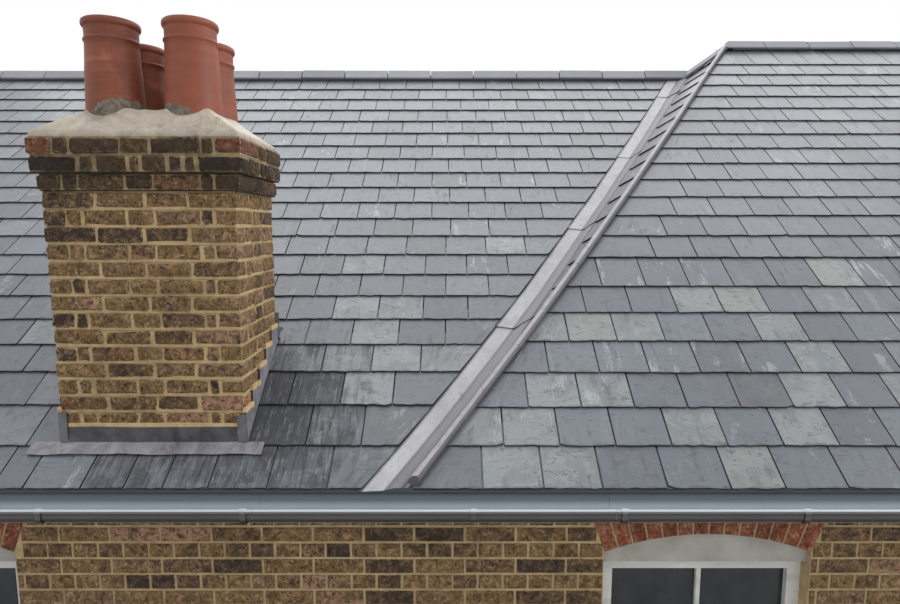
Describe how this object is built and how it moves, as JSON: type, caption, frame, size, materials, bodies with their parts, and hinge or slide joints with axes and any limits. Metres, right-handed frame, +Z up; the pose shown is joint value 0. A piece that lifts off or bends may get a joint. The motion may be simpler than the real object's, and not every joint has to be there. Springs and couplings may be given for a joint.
{
  "type": "slate roof with chimney stack",
  "caption": "Pitched slate roof of a brick house with a chimney stack, clay pots, lead valley and hip, ridge tiles, gutters and low brick walls.",
  "frame": {"origin": "middle of the rectangle around the part, at the foot of the walls", "axes": "+X to the right along the front eaves, +Y from the front eaves into the roof, +Z up"},
  "size_m": [9.867, 7.428, 3.9437],
  "materials": {
    "stock_brick": "matte",
    "red_brick": "matte",
    "dark_brick": "matte, sooty",
    "slate": "riven",
    "ridge_tile": "matte",
    "lead": "dull",
    "mortar": "rough",
    "terracotta": "matte",
    "gutter_paint": "satin",
    "pale_stone": "matte",
    "softwood": "sawn",
    "white_paint": "gloss painted",
    "window_glass": "clear"
  },
  "bodies": {
    "root": {"front_wall": "stock_brick", "rear_wall": "stock_brick", "left_party_wall": "stock_brick", "right_party_wall": "stock_brick", "window_arches": "red_brick", "window_heads": "pale_stone", "window_frames": "white_paint", "window_panes": "window_glass", "wall_plates": "softwood", "ceiling_joists": "softwood", "rafters_front": "softwood", "rafters_rear": "softwood", "ridge_boards": "softwood", "hip_and_valley_rafters": "softwood", "hip_slope_boards": "softwood", "valley_boards": "softwood", "front_slope_left": "slate", "rear_slope_left": "slate", "front_slope_right": "slate", "rear_slope_right": "slate", "front_hip_slope": "slate", "rear_hip_slope": "slate", "front_valley_lead": "lead", "rear_valley_lead": "lead", "front_hip_roll": "lead", "rear_hip_roll": "lead", "hip_ridge_capping": "lead", "ridge_tiles_left": "ridge_tile", "ridge_tiles_right": "ridge_tile", "front_fascia": "gutter_paint", "rear_fascia": "gutter_paint", "front_gutter": "gutter_paint", "rear_gutter": "gutter_paint", "gutter_brackets": "gutter_paint", "chimney_shaft": "stock_brick", "oversail_course_lower": "stock_brick", "oversail_course_upper": "dark_brick", "flaunching": "mortar", "pot_front_left": "terracotta", "pot_front_right": "terracotta", "pot_back_left": "terracotta", "pot_back_right": "terracotta", "apron_flashing": "lead", "step_flashing_left": "lead", "step_flashing_right": "lead", "back_gutter": "lead"}
  },
  "joints": []
}
